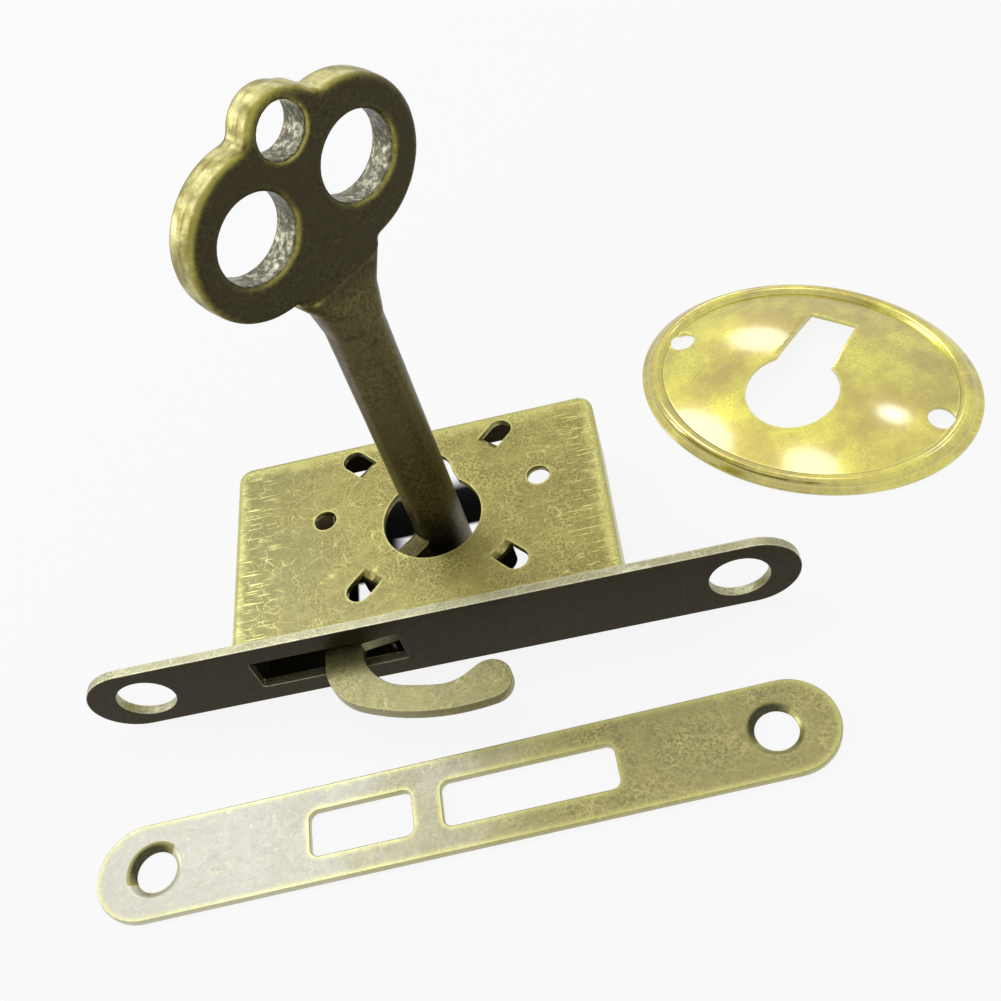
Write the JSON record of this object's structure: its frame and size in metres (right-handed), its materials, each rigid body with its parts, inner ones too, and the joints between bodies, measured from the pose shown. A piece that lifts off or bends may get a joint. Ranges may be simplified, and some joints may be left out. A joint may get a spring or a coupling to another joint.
{
  "type": "furniture lock",
  "caption": "Small mortise lock for furniture: a key swings a claw bolt out through the slot in a round-ended faceplate, with a matching strike plate and an oval keyhole cover.",
  "frame": {"origin": "centre of the faceplate's front face, midway between its two screw holes", "axes": "+X along the faceplate, away from the slot; +Y from the faceplate into the case; +Z along the key, from its tip to its bow"},
  "size_m": [0.1041, 0.0697, 0.0642],
  "materials": {
    "plate_brass": "dark antique patina with bright rubbed edges",
    "case_brass": "mottled antique patina, finely scratched",
    "claw_brass": "mottled antique patina",
    "strike_brass": "rubbed antique patina",
    "cover_brass": "glossy lacquered antique gold",
    "key_brass": "dark antique patina with bright rubbed edges",
    "pin_steel": "plain turned",
    "spring_steel": "plain spring strip"
  },
  "bodies": {
    "lock": {"faceplate": "plate_brass", "case_body": "case_brass", "back_plate": "case_brass", "claw_post": "pin_steel", "leaf_spring": "spring_steel", "spring_post": "pin_steel", "strike_plate": "strike_brass", "escutcheon": "cover_brass"},
    "claw": {"claw_bolt": "claw_brass", "detent_cam": "pin_steel"},
    "key": {"key": "key_brass"}
  },
  "joints": [
    {"name": "claw_swing", "type": "hinge", "parent": "lock", "child": "claw", "pos_m": [-0.002, 0.005, 0], "axis": [0, 0, 1], "range_deg": [-113.4, 0]},
    {"name": "key_turn", "type": "hinge", "parent": "lock", "child": "key", "pos_m": [0.0022, 0.013, 0], "axis": [0, 0, 1], "range_deg": [0, 63]}
  ],
  "couplings": [
    {"joint": "claw_swing", "follows": "key_turn", "ratio": -1.8}
  ]
}
